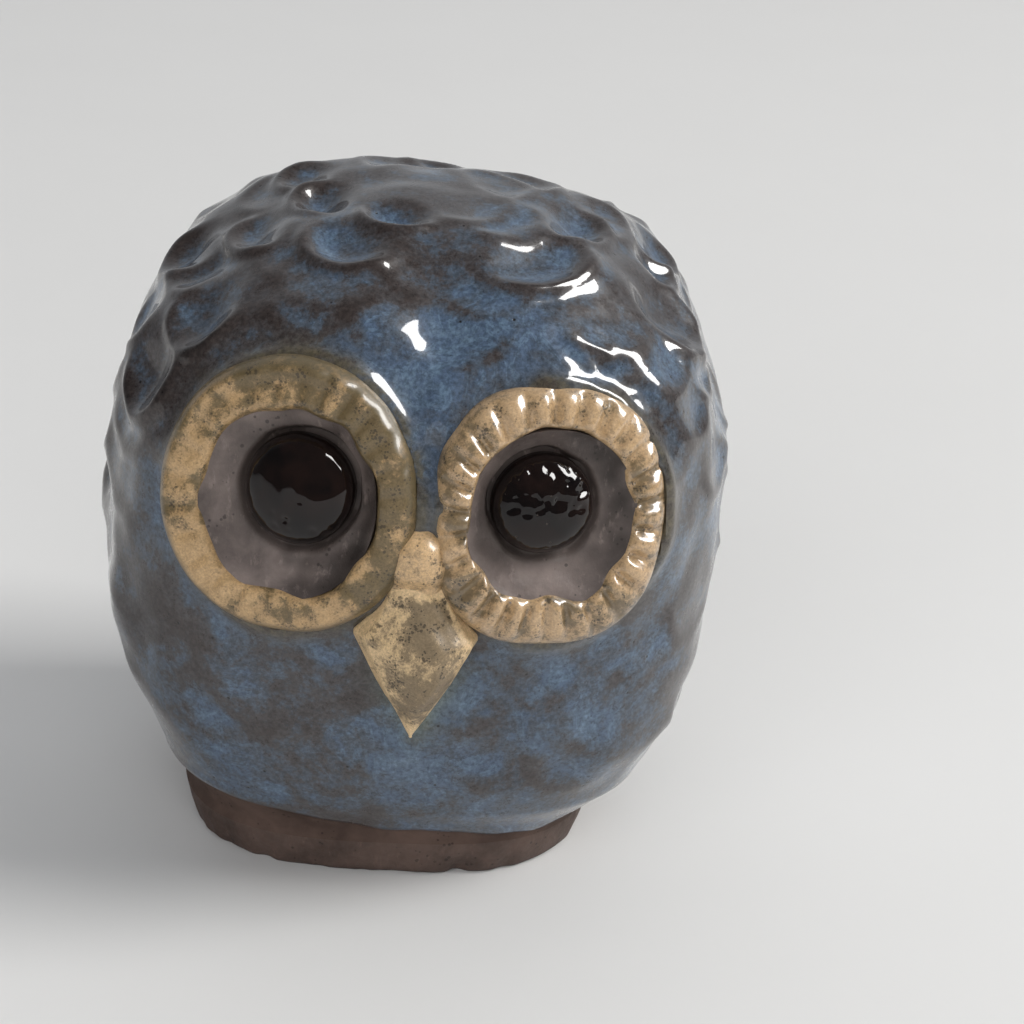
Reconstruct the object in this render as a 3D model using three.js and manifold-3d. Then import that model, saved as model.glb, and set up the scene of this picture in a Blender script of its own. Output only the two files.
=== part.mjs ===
// A small hollow stoneware owl, built the way a potter builds one: a pinched body shell closed by a base
// slab, with the eye rings, eye cups, pupils, nose bridge and beak made separately and luted into seats.
// Millimetres, +Z up. The origin is the middle of the foot's flat underside, and the face looks towards -Y.

import * as THREE from "three";
import { ConvexGeometry } from "three/addons/geometries/ConvexGeometry.js";
import { mergeVertices } from "three/addons/utils/BufferGeometryUtils.js";
import Module from "manifold-3d";

const wasm = await Module();
wasm.setup();

// ---- driving dimensions --------------------------------------------------------------------------------

const HALF_WIDTH = 38; // the body at its widest
const HALF_DEPTH = 34;
const EQUATOR = 48.8; // height of the widest section above the table
const CROWN_RISE = 32.3; // from the widest section to the top of the head
const BELLY_DROP = 57.6; // the belly's curve would close this far below the widest section; the foot cuts it
const PLAN_POWER = 2.87; // superellipse power of a horizontal section: 2 is an ellipse, more is squarer
const SIDE_POWER = 2.26; // superellipse power of the upright outline
const WALL = 7;
const SLIP_GAP = 0.3; // the slip joint between two pieces

const SLAB_THICKNESS = 5;
const SLAB_TOP_HALF_WIDTH = 25.8;
const SLAB_SHIFT = 1.4; // the foot was trimmed off centre, towards the owl's right
const SLAB_TAPER = 0.95; // the trimmed foot is this much smaller at the table than at the body
const VENT_RADIUS = 4; // lets air out of the hollow in the kiln
const VENT_BACK = 9; // the vent is pierced behind the middle of the slab

const MOUTH_SHARE = 0.76; // the body's open mouth, as a share of the slab above it

const EYE_YAW = 13; // degrees that each eye looks outwards
const EYE_PITCH = 10; // and upwards
const FLUTES = 26; // tool marks pressed round an eye ring
// Half sizes of each ring and dish, and each pupil's radius and where it sits off the middle of its dish.
const LEFT_EYE = { ring: [14.9, 15.9], dish: [9.5, 10.6], pupil: 6.5, gaze: [1.4, 1.1] };
const RIGHT_EYE = { ring: [13.5, 15.2], dish: [9.2, 9.7], pupil: 5.9, gaze: [-1.2, 1.7] };
const EYES = [
  { side: "left", centre: [-13.7, -29, 54], yaw: -EYE_YAW, ...LEFT_EYE },
  { side: "right", centre: [15.6, -29, 53], yaw: EYE_YAW, ...RIGHT_EYE },
];

const BEAK_TOP = 45.2;
const BEAK_CHEEK = 39.2; // height of the beak's widest place
const BEAK_TIP = 25.6;
const BEAK_HALF_WIDTH = 7.2;
const BEAK_MIDDLE = 1.2; // the beak sits this far off the middle, to the owl's left
const BEAK_BED = 29.6; // the seat's flat floor, this far in front of the body's middle
const BEAK_SHOULDER = 34.6; // how far the beak's upright sides stand out before they slope to the ridge
const BEAK_RIDGE = 38.2; // how far the ridge stands out at its highest
const BEAK_RIDGE_ABOVE_CHEEK = 1.5; // the ridge is highest this far above the widest place
const BEAK_TIP_DROOP = 1.4; // the ridge falls back this much by the tip
const BEAK_TIP_BLUNT = 3; // and ends this far above it
const BRIDGE_CENTRE = [1, -31.2, 52.2];
const BRIDGE_HALF_SIZES = [3.4, 4.6, 7.4];

const COLOURS = {
  glaze: { color: 0x4d5a66, roughness: 0.2, metalness: 0 },
  ochre: { color: 0xb08c5c, roughness: 0.35, metalness: 0 },
  clay: { color: 0x4a3a36, roughness: 0.85, metalness: 0 },
  tenmoku: { color: 0x120c0a, roughness: 0.06, metalness: 0 },
};

// ---- helpers -------------------------------------------------------------------------------------------

// A closed geometry as a manifold-3d solid, with only its positions kept.
function solid(geometry) {
  const bare = geometry.clone();
  Object.keys(bare.attributes)
    .filter((name) => name !== "position")
    .forEach((name) => bare.deleteAttribute(name));
  const merged = mergeVertices(bare, 1e-4);
  return new wasm.Manifold(
    new wasm.Mesh({
      numProp: 3,
      vertProperties: new Float32Array(merged.attributes.position.array),
      triVerts: new Uint32Array(merged.index.array),
    }),
  );
}

function geometryOf(body) {
  const mesh = body.getMesh();
  const geometry = new THREE.BufferGeometry();
  geometry.setAttribute("position", new THREE.BufferAttribute(new Float32Array(mesh.vertProperties), 3));
  geometry.setIndex(new THREE.BufferAttribute(new Uint32Array(mesh.triVerts), 1));
  geometry.computeVertexNormals();
  return geometry;
}

function piece(name, geometry, finish) {
  const mesh = new THREE.Mesh(geometry, new THREE.MeshStandardMaterial(COLOURS[finish]));
  mesh.name = name;
  return mesh;
}

// A lathe-turned solid, Z up. The profile's points are (radius, height).
function turned(profile, segments) {
  const points = profile.map(([radius, height]) => new THREE.Vector2(radius, height));
  return new THREE.LatheGeometry(points, segments).rotateX(Math.PI / 2);
}

// Turns every round section of a unit lathe into a superellipse of the given half sizes.
function squared(geometry, halfWidth, halfDepth) {
  const position = geometry.attributes.position;
  for (let i = 0; i < position.count; i++) {
    const angle = Math.atan2(position.getY(i), position.getX(i));
    const across = Math.abs(Math.cos(angle)) ** PLAN_POWER + Math.abs(Math.sin(angle)) ** PLAN_POWER;
    const reach = across ** (-1 / PLAN_POWER);
    position.setX(i, position.getX(i) * halfWidth * reach);
    position.setY(i, position.getY(i) * halfDepth * reach);
  }
  return geometry;
}

// Profile of the egg-like body in units of its widest section, from a flat cut at floorHeight to the crown.
// inset draws it inwards for the hollow.
function bodyProfile(floorHeight, inset, rows) {
  const rise = CROWN_RISE - inset;
  const drop = BELLY_DROP - inset;
  const lowest = -Math.asin(((EQUATOR - floorHeight) / drop) ** (SIDE_POWER / 2));
  const profile = [[0, floorHeight]];
  for (let row = 0; row <= rows; row++) {
    const tilt = lowest + ((Math.PI / 2 - lowest) * row) / rows;
    const share = Math.cos(tilt) ** (2 / SIDE_POWER);
    const height = Math.abs(Math.sin(tilt)) ** (2 / SIDE_POWER) * (tilt < 0 ? -drop : rise);
    profile.push(row === rows ? [0, EQUATOR + rise] : [share, EQUATOR + height]);
  }
  return profile;
}

// ---- body and base -------------------------------------------------------------------------------------

const bodyFloor = SLAB_THICKNESS + SLIP_GAP;
const slabHalfDepth = (SLAB_TOP_HALF_WIDTH * HALF_DEPTH) / HALF_WIDTH;

function bodyBlank() {
  return solid(squared(turned(bodyProfile(bodyFloor, 0, 30), 80), HALF_WIDTH, HALF_DEPTH));
}

// The hollow follows the outside at the wall's thickness, and leaves through the mouth that the slab closes.
function hollow() {
  const chamberFloor = bodyFloor + WALL;
  const lining = turned(bodyProfile(chamberFloor, WALL, 16), 48);
  const chamber = squared(lining, HALF_WIDTH - WALL, HALF_DEPTH - WALL);
  const throat = turned([[0, 0], [1, 0], [1, chamberFloor + WALL], [0, chamberFloor + WALL]], 48);
  const mouth = squared(throat, SLAB_TOP_HALF_WIDTH * MOUTH_SHARE, slabHalfDepth * MOUTH_SHARE);
  return solid(chamber).add(solid(mouth));
}

function baseSlab() {
  const profile = [[0, 0], [SLAB_TAPER, 0], [1, SLAB_THICKNESS], [0, SLAB_THICKNESS]];
  const outline = squared(turned(profile, 72), SLAB_TOP_HALF_WIDTH, slabHalfDepth);
  outline.translate(-SLAB_SHIFT, 0, 0);
  const slab = solid(outline);
  const vent = new THREE.CylinderGeometry(VENT_RADIUS, VENT_RADIUS, 3 * SLAB_THICKNESS, 32)
    .rotateX(Math.PI / 2)
    .translate(0, VENT_BACK, 0);
  return geometryOf(slab.subtract(solid(vent)));
}

// ---- eyes, each in its own frame: +Z looks out of the eye, and 0 is the bed of its seat ----------------

const RING_EDGE = 2.6; // height of the ring's outer shoulder above the bed
const RING_CREST = 4.4;
const RING_LIP = 3.4; // where the ring meets the cup
const FLUTE_DEPTH = 0.35;
const CUP_EDGE = 3.2; // height of the cup's rim, just below the ring's lip
const CUP_FLOOR = 1.3;
const CUP_FLOOR_SHARE = 0.92; // the flat floor's share of the dish, inside the sloping side
const PUPIL_WAIST = 0.8; // height of the pupil's widest place above the cup's floor
const PUPIL_RISE = 4.2;
const SEAT_REACH = 14; // the seat's cutter runs this far out of the body

// A flat-backed band between two ovals, its top pressed into radial flutes.
function eyeRing({ ring, dish }) {
  const spokes = FLUTES * 4;
  const inner = [dish[0] + SLIP_GAP, dish[1] + SLIP_GAP];
  const section = [
    [0, 0],
    [1, 0],
    [1, RING_EDGE * 0.7],
    [0.93, RING_EDGE],
    [0.62, RING_CREST],
    [0.3, RING_CREST],
    [0, RING_LIP],
  ];
  const positions = [];
  const faces = [];
  for (let spoke = 0; spoke < spokes; spoke++) {
    const angle = (2 * Math.PI * spoke) / spokes;
    const press = (FLUTE_DEPTH * (1 - Math.cos(FLUTES * angle))) / 2;
    section.forEach(([out, height]) => {
      const x = THREE.MathUtils.lerp(inner[0], ring[0], out) * Math.cos(angle);
      const y = THREE.MathUtils.lerp(inner[1], ring[1], out) * Math.sin(angle);
      positions.push(x, y, height > RING_EDGE ? height - press : height);
    });
    section.forEach((_, k) => {
      const after = (k + 1) % section.length;
      const a = spoke * section.length + k;
      const b = spoke * section.length + after;
      const c = ((spoke + 1) % spokes) * section.length + after;
      const d = ((spoke + 1) % spokes) * section.length + k;
      faces.push(a, c, b, a, d, c);
    });
  }
  const geometry = new THREE.BufferGeometry();
  geometry.setAttribute("position", new THREE.Float32BufferAttribute(positions, 3));
  geometry.setIndex(faces);
  geometry.computeVertexNormals();
  return geometry;
}

// The bare dished cup inside the ring, flat where the pupil is pressed in.
function eyeCup({ dish }) {
  const profile = [[0, 0], [1, 0], [1, CUP_EDGE], [CUP_FLOOR_SHARE, CUP_FLOOR], [0, CUP_FLOOR]];
  return turned(profile, 48).scale(dish[0], dish[1], 1);
}

// A rolled pellet, flattened where it is pressed into the cup.
function pupilPellet({ pupil, gaze }) {
  const bed = CUP_FLOOR + SLIP_GAP;
  const profile = [[0, bed], [pupil * 0.9, bed]];
  const steps = 9;
  for (let step = 0; step <= steps; step++) {
    const tilt = ((Math.PI / 2) * step) / steps;
    const height = PUPIL_WAIST + (PUPIL_RISE - PUPIL_WAIST) * Math.sin(tilt);
    profile.push([step === steps ? 0 : pupil * Math.cos(tilt), bed + height]);
  }
  return turned(profile, 40).translate(gaze[0], gaze[1], 0);
}

// A group standing at the bed of an eye's seat. Turned about X, its +Z looks along -Y and a little up,
// and the turn about Z then makes it look outwards.
function eyeSocket(eye) {
  const socket = new THREE.Group();
  socket.position.set(...eye.centre);
  socket.rotation.set(THREE.MathUtils.degToRad(90 - EYE_PITCH), 0, THREE.MathUtils.degToRad(eye.yaw), "ZYX");
  socket.updateMatrixWorld();
  return socket;
}

function ovalPost([halfWidth, halfHeight], clearance, from, to) {
  return new THREE.CylinderGeometry(1, 1, to - from, 64)
    .rotateX(Math.PI / 2)
    .scale(halfWidth + clearance, halfHeight + clearance, 1)
    .translate(0, 0, (from + to) / 2);
}

// The seat's cutter: the ring's outline and bed with the slip joint's gap all round.
function eyeSeat(eye) {
  const post = ovalPost(eye.ring, SLIP_GAP, -SLIP_GAP, SEAT_REACH);
  return solid(post.applyMatrix4(eyeSocket(eye).matrixWorld));
}

// ---- beak and nose bridge ------------------------------------------------------------------------------

// The beak's kite outline in the front plane as (x, z), grown by margin all round.
function beakOutline(margin) {
  return [
    [BEAK_MIDDLE, BEAK_TOP + margin],
    [BEAK_MIDDLE - BEAK_HALF_WIDTH - margin, BEAK_CHEEK],
    [BEAK_MIDDLE, BEAK_TIP - margin * 2],
    [BEAK_MIDDLE + BEAK_HALF_WIDTH + margin, BEAK_CHEEK],
  ];
}

function beak() {
  const points = [];
  beakOutline(0).forEach(([x, z]) => {
    points.push(new THREE.Vector3(x, -BEAK_BED, z));
    points.push(new THREE.Vector3(x, -BEAK_SHOULDER, z));
  });
  points.push(new THREE.Vector3(BEAK_MIDDLE, -BEAK_RIDGE, BEAK_CHEEK + BEAK_RIDGE_ABOVE_CHEEK));
  points.push(new THREE.Vector3(BEAK_MIDDLE, BEAK_TIP_DROOP - BEAK_RIDGE, BEAK_TIP + BEAK_TIP_BLUNT));
  return new ConvexGeometry(points);
}

function beakSeat() {
  const outline = new THREE.Shape(beakOutline(SLIP_GAP).map(([x, z]) => new THREE.Vector2(x, z)));
  return new THREE.ExtrudeGeometry(outline, { depth: SEAT_REACH, bevelEnabled: false })
    .rotateX(Math.PI / 2)
    .translate(0, -BEAK_BED + SLIP_GAP, 0);
}

// A thumbed pellet of clay that fills the valley between the two rings above the beak.
function bridgeBlank(margin) {
  return new THREE.SphereGeometry(1, 32, 20)
    .scale(...BRIDGE_HALF_SIZES.map((half) => half + margin))
    .translate(...BRIDGE_CENTRE);
}

// ---- assembly ------------------------------------------------------------------------------------------

let shell = bodyBlank().subtract(hollow()).subtract(solid(beakSeat())).subtract(solid(bridgeBlank(SLIP_GAP)));
let bridge = solid(bridgeBlank(0)).subtract(solid(beakSeat()));
for (const eye of EYES) {
  shell = shell.subtract(eyeSeat(eye));
  bridge = bridge.subtract(eyeSeat(eye));
}

const owl = new THREE.Group();
owl.add(piece("body_shell", geometryOf(shell), "glaze"));
owl.add(piece("base_slab", baseSlab(), "clay"));
owl.add(piece("beak", beak(), "ochre"));
owl.add(piece("nose_bridge", geometryOf(bridge), "ochre"));

for (const eye of EYES) {
  const socket = eyeSocket(eye);
  socket.add(piece(`${eye.side}_eye_ring`, eyeRing(eye), "ochre"));
  socket.add(piece(`${eye.side}_eye_cup`, eyeCup(eye), "clay"));
  socket.add(piece(`${eye.side}_pupil`, pupilPellet(eye), "tenmoku"));
  owl.add(socket);
}

export default owl;
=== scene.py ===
# %% [markdown]
# # A little stoneware owl
# The owl is hand-built in dark clay: a pinched, hollow body on a trimmed base slab, with two pressed eye
# rings, a dished cup and a glassy pupil in each, a thumbed nose bridge and a beak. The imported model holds
# the places and sizes. Each visible piece is made again here as a dense mesh with the marks that fingers,
# tools and melted glaze leave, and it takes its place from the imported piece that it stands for.

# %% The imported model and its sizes
import math
import bpy
import bmesh
import numpy as np
from mathutils import Matrix, Vector


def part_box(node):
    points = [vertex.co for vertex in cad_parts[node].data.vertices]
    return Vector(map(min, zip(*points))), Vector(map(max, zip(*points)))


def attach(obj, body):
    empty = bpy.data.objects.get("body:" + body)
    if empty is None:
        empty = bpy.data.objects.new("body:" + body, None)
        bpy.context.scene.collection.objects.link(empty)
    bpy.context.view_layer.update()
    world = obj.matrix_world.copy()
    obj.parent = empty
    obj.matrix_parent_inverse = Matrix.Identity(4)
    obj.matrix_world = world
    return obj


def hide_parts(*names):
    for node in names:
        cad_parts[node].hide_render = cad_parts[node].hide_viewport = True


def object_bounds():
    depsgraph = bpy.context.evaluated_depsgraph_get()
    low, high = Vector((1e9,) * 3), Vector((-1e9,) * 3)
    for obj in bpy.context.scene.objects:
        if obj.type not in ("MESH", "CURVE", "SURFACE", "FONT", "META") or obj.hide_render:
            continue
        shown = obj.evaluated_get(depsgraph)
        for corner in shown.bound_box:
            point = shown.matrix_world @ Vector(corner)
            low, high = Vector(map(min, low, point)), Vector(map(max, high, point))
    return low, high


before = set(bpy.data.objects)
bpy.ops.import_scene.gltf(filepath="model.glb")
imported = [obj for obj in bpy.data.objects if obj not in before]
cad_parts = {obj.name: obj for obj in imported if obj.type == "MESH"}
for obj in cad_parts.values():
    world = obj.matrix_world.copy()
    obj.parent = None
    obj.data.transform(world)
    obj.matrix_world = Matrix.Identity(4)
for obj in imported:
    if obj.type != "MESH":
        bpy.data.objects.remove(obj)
CAD_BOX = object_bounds()
MM = 0.001


def box_mm(node):
    low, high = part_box(node)
    return np.array(low) / MM, np.array(high) / MM


body_low, body_high = box_mm("body_shell")
slab_low, slab_high = box_mm("base_slab")
slab_centre = (slab_low + slab_high)[:2] / 2
slab_half = (slab_high - slab_low)[:2] / 2
print("body from", body_low.round(1), "to", body_high.round(1), "mm")

# %% [markdown]
# ## Camera, floor and light
# The owl stands on a pale table and is seen from a little above, through a long lens, with the camera
# leaning a few degrees. A soft lamp high on the owl's left casts the shadow, and a wide lamp in front and
# one overhead fill it. These three are hidden from reflections, because a glossy surface would show them
# as hard-edged panels. A fourth lamp lights nothing and is only mirrored: as a window does, it gives the
# sharp glints of a glossy glaze. Otherwise the glaze mirrors the world, which is pale behind the owl, as a
# backdrop would be, and dim towards the camera. The Standard view transform keeps the dark glaze deep.

# %% Camera
CAMERA_DISTANCE = 0.330
CAMERA_RISE = math.radians(24.7)
CAMERA_LEAN = math.radians(3.9)
VIEW_SIDESTEP = 0.0124
VIEW_DROP = 0.0018
LENS_MM = 93.5
SENSOR_MM = 36

owl_centre = Vector((0, 0, (CAD_BOX[0][2] + CAD_BOX[1][2]) / 2))
camera = bpy.data.objects.new("camera", bpy.data.cameras.new("camera"))
bpy.context.collection.objects.link(camera)
backwards = Vector((0, -math.cos(CAMERA_RISE), math.sin(CAMERA_RISE)))
upright = backwards.to_track_quat("Z", "Y").to_matrix().to_4x4()
turned = upright @ Matrix.Rotation(CAMERA_LEAN, 4, "Z")
aim = owl_centre + turned.col[0].xyz * VIEW_SIDESTEP - turned.col[1].xyz * VIEW_DROP
eye_place = owl_centre + backwards * CAMERA_DISTANCE
gaze = (eye_place - aim).normalized()
level = gaze.to_track_quat("Z", "Y").to_matrix().to_4x4()
camera.matrix_world = Matrix.Translation(eye_place) @ level @ Matrix.Rotation(CAMERA_LEAN, 4, "Z")
camera.data.lens = LENS_MM
camera.data.sensor_width = SENSOR_MM
camera.data.clip_start = 0.01
bpy.context.scene.camera = camera
print("camera at", tuple(round(v, 3) for v in eye_place))

# %% Floor
FLOOR_HALF = 2.5
floor_mesh = bpy.data.meshes.new("floor")
floor_corners = [(-1, -1), (1, -1), (1, 1), (-1, 1)]
floor_mesh.from_pydata([(x * FLOOR_HALF, y * FLOOR_HALF, 0) for x, y in floor_corners], [], [(0, 1, 2, 3)])
floor = bpy.data.objects.new("floor", floor_mesh)
bpy.context.collection.objects.link(floor)


# %% Lamps
def lamp(name, place, size, watts, colour, only_mirrored=False):
    light = bpy.data.lights.new(name, "AREA")
    light.shape = "RECTANGLE"
    light.size, light.size_y = size
    light.energy = watts
    light.color = colour
    holder = bpy.data.objects.new(name, light)
    holder.location = place
    holder.rotation_euler = (Vector(place) - owl_centre).to_track_quat("Z", "Y").to_euler()
    holder.visible_glossy = only_mirrored
    holder.visible_diffuse = not only_mirrored
    bpy.context.collection.objects.link(holder)


WARM_DAY = (1.0, 0.99, 0.97)
COOL_DAY = (0.97, 0.98, 1.0)
lamp("window", (0.68, 0.0, 0.70), (0.34, 0.66), 17.0, WARM_DAY, only_mirrored=True)
lamp("side_wall", (1.5, -0.1, 1.25), (0.8, 0.8), 31.0, WARM_DAY)
lamp("room", (-0.2, -1.3, 0.75), (1.8, 1.2), 15.5, COOL_DAY)
lamp("ceiling", (-0.1, 0.7, 1.8), (2.6, 2.2), 9.0, COOL_DAY)

bpy.context.scene.view_settings.view_transform = "Standard"
FRONT_GLOW = 0.07
BACK_GLOW = 0.5
BACK_FROM = 0.9

world = bpy.data.worlds.new("room")
bpy.context.scene.world = world
world.use_nodes = True
sky = world.node_tree
heading_node = sky.nodes.new("ShaderNodeTexCoord")
parts = sky.nodes.new("ShaderNodeSeparateXYZ")
backdrop = sky.nodes.new("ShaderNodeMapRange")
backdrop.interpolation_type = "SMOOTHSTEP"
backdrop.inputs["From Min"].default_value = 0.0
backdrop.inputs["From Max"].default_value = BACK_FROM
backdrop.inputs["To Min"].default_value = FRONT_GLOW
backdrop.inputs["To Max"].default_value = BACK_GLOW
sky.links.new(heading_node.outputs["Generated"], parts.inputs[0])
sky.links.new(parts.outputs["Y"], backdrop.inputs["Value"])
sky.links.new(backdrop.outputs[0], sky.nodes["Background"].inputs["Strength"])
sky.nodes["Background"].inputs["Color"].default_value = (0.93, 0.96, 1.0, 1)

# %% [markdown]
# ## Shaping tools
# Hand-built clay has no straight line in it. Every surface below starts as a plain formula and is then
# moved along its own normal by a few millimetres of relief. `lumps` adds up waves that run in random
# directions, which gives the smooth, uneven swell of a pinched wall. A grid that knows which of its points
# are neighbours can be blurred, and the relief less its own blur says which places are ridges and which
# are hollows. Melted glaze slides off the ridges and gathers in the hollows, so the finish needs to know.


# %% Numbers and fields
def unit(vectors):
    return vectors / np.linalg.norm(vectors, axis=-1, keepdims=True)


def ease(value, low, high):
    """0 below low and 1 above high, with a soft start and end."""
    share = np.clip((value - low) / (high - low), 0, 1)
    return share * share * (3 - 2 * share)


def bell(value, middle, width):
    return np.exp(-(((value - middle) / width) ** 2))


def angle_between(first, second):
    return np.angle(np.exp(1j * (first - second)))


def lumps(places, wavelength, seed, waves=30):
    """A smooth random field with a spread of about 1, made of waves of about that length in mm."""
    draw = np.random.default_rng(seed)
    heading = unit(draw.normal(size=(waves, 3)))
    pace = 2 * math.pi / (wavelength * draw.uniform(0.75, 1.4, waves))
    phase = draw.uniform(0, 2 * math.pi, waves)
    return np.cos(places @ (heading * pace[:, None]).T + phase).sum(1) * math.sqrt(2 / waves)


# %% Meshes
CREASE_ANGLE = math.radians(50)


def make_piece(name, places, faces, masks=None, caps=()):
    """A smooth-shaded mesh from places in mm, with one number for each point under each mask's name."""
    mesh = bpy.data.meshes.new(name)
    polygons = [tuple(face) for face in faces] + [tuple(cap) for cap in caps]
    mesh.from_pydata((np.asarray(places) * MM).tolist(), [], polygons)
    for mask, values in (masks or {}).items():
        mesh.attributes.new(mask, "FLOAT", "POINT").data.foreach_set("value", np.asarray(values, float))
    sorter = bmesh.new()
    sorter.from_mesh(mesh)
    bmesh.ops.recalc_face_normals(sorter, faces=sorter.faces)
    sorter.to_mesh(mesh)
    sorter.free()
    mesh.polygons.foreach_set("use_smooth", [True] * len(mesh.polygons))
    mesh.set_sharp_from_angle(angle=CREASE_ANGLE)
    mesh.validate()
    thing = bpy.data.objects.new(name, mesh)
    bpy.context.collection.objects.link(thing)
    print(name, len(mesh.vertices), "points", len(mesh.polygons), "faces")
    return thing


def at_height(flat, height):
    """Level places at a height, which is one number or one for each place."""
    return np.concatenate([flat, np.broadcast_to(height, (len(flat),))[:, None]], 1)


def sleeve(upper, lower):
    """Quads between two loops of point numbers of the same length."""
    return np.stack([upper, lower, np.roll(lower, -1), np.roll(upper, -1)], -1).tolist()


def tube(loops, bent_round=False):
    """Places, quads and point numbers of a skin through loops, with its ends joined if it is bent round."""
    number = np.arange(len(loops) * len(loops[0])).reshape(len(loops), -1)
    faces = []
    for k in range(len(loops) if bent_round else len(loops) - 1):
        faces += sleeve(number[k], number[(k + 1) % len(loops)])
    return np.concatenate(loops), faces, number


def patch(rows, columns):
    """The quads of a grid of points, row by row, and the loop of points round its edge."""
    number = np.arange(rows * columns).reshape(rows, columns)
    quads = np.stack([number[:-1, :-1], number[:-1, 1:], number[1:, 1:], number[1:, :-1]], -1)
    edge = np.concatenate([number[0, :-1], number[:-1, -1], number[-1, :0:-1], number[:0:-1, 0]])
    return quads.reshape(-1, 4).tolist(), edge


def square_cap(side):
    """A square grid over -1 to 1: its two coordinates, its quads and the loop of its edge."""
    steps = np.linspace(-1, 1, side + 1)
    across, along = np.meshgrid(steps, steps)
    return across.ravel(), along.ravel(), *patch(side + 1, side + 1)


def close_behind(places, faces, edge, axis, level):
    """Adds a wall from an edge straight to a level, and returns the places, the faces and the flat cap."""
    rear = places[edge].copy()
    rear[:, axis] = level
    numbers = np.arange(len(places), len(places) + len(edge))
    return np.concatenate([places, rear]), faces + sleeve(edge, numbers), [numbers.tolist()]


# %% [markdown]
# ## Where the eyes sit
# Both eyes lie on tilted beds, so each gets its own small frame: `across` and `up` lie in the bed and
# `out` points away from it. The bed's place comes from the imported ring. With that frame, the body can be
# hollowed under an eye, and ring, cup and pupil can be made flat and then set into the face.

# %% Eye frames
EYE_PITCH = math.radians(10)
EYE_YAW = math.radians(13)
RING_CREST = 4.4


class Eye:
    def __init__(self, side, yaw):
        low, high = box_mm(f"{side}_eye_ring")
        turn = Matrix.Rotation(yaw, 3, "Z") @ Matrix.Rotation(math.pi / 2 - EYE_PITCH, 3, "X")
        self.side = side
        self.across, self.up, self.out = (np.array(turn.col[k]) for k in range(3))
        self.bed = (low + high) / 2 - self.out * RING_CREST / 2
        wide, _, tall = high - low
        self.half = np.array([wide / 2 / math.cos(yaw), tall / 2 / math.cos(EYE_PITCH)])
        pupil_low, pupil_high = box_mm(f"{side}_pupil")
        offset = (pupil_low + pupil_high) / 2 - self.bed
        self.pupil = np.array([offset @ self.across, offset @ self.up])
        self.pupil_half = (pupil_high - pupil_low)[0] / 2

    def flat(self, places):
        """Places in the owl's frame as (across, up, out) in the eye's frame."""
        return (places - self.bed) @ np.stack([self.across, self.up, self.out], -1)

    def world(self, local):
        return self.bed + local @ np.stack([self.across, self.up, self.out])

    def share(self, places):
        """How far out a place lies in the ring's oval: 1 is the ring's outer edge."""
        local = self.flat(places)
        return np.hypot(local[:, 0] / self.half[0], local[:, 1] / self.half[1])


EYES = {"left": Eye("left", -EYE_YAW), "right": Eye("right", EYE_YAW)}
for eye in EYES.values():
    print(eye.side, "eye: bed", eye.bed.round(1), "half", eye.half.round(1), "pupil", eye.pupil.round(1))

# %% [markdown]
# ## The body's plain form
# A pinched pot squeezed into a rounded block is a superellipsoid: an egg whose level sections are squarer
# than an ellipse. It could be sculpted from a ball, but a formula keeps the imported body's outline exactly.
# The grid is a square cap over the crown and one long sleeve down to the foot, so that all its quads are
# about half a millimetre wide and none meet in a crowded pole.

# %% The plain skin
PLAN_POWER = 2.87
SIDE_POWER = 2.26
EQUATOR_SHARE = 0.6017
DROP_SHARE = 0.7102
CAP_SIDE = 120
SKIN_ROWS = 152

total_height = body_high[2]
equator = EQUATOR_SHARE * total_height
belly_drop = DROP_SHARE * total_height
half_width = (body_high[0] - body_low[0]) / 2
half_depth = (body_high[1] - body_low[1]) / 2
crown_rise = total_height - equator


def half_sizes(above):
    """The body's half sizes, with the crown's rise above the widest section and the belly's drop below."""
    vertical = np.where(above, crown_rise, belly_drop)
    return np.stack([np.full(len(above), half_width), np.full(len(above), half_depth), vertical], -1)


def on_body(heading):
    """Where rays from the middle of the widest section leave the plain body."""
    size = np.abs(heading)
    plan = (size[:, 0] ** PLAN_POWER + size[:, 1] ** PLAN_POWER) ** (SIDE_POWER / PLAN_POWER)
    reach = (plan + size[:, 2] ** SIDE_POWER) ** (-1 / SIDE_POWER)
    return np.array([0, 0, equator]) + heading * half_sizes(heading[:, 2] > 0) * reach[:, None]


def body_normals(places):
    half = half_sizes(places[:, 2] > equator)
    local = (places - np.array([0, 0, equator])) / half
    size = np.abs(local) + 1e-6
    plan = size[:, 0] ** PLAN_POWER + size[:, 1] ** PLAN_POWER
    slope = np.empty_like(local)
    slope[:, 0] = plan ** (SIDE_POWER / PLAN_POWER - 1) * size[:, 0] ** (PLAN_POWER - 1)
    slope[:, 1] = plan ** (SIDE_POWER / PLAN_POWER - 1) * size[:, 1] ** (PLAN_POWER - 1)
    slope[:, 2] = size[:, 2] ** (SIDE_POWER - 1)
    return unit(slope * np.sign(local) / half)


def round_point(around):
    """Points of the unit circle at some angles."""
    return np.stack([np.cos(around), np.sin(around)], -1)


def heading_of(polar, around):
    """A direction from the angle off the crown and the angle round it."""
    return np.stack([np.sin(polar) * np.cos(around), np.sin(polar) * np.sin(around), np.cos(polar)], -1)


def plan_reach(around):
    """How far the squarish plan reaches at an angle, where its half size is 1."""
    sides = np.abs(np.cos(around)) ** PLAN_POWER + np.abs(np.sin(around)) ** PLAN_POWER
    return sides ** (-1 / PLAN_POWER)


def rim_share(height):
    """How wide the body is at a height below its widest section, as a share of its half sizes."""
    return (1 - ((equator - height) / belly_drop) ** SIDE_POWER) ** (1 / SIDE_POWER)


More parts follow.
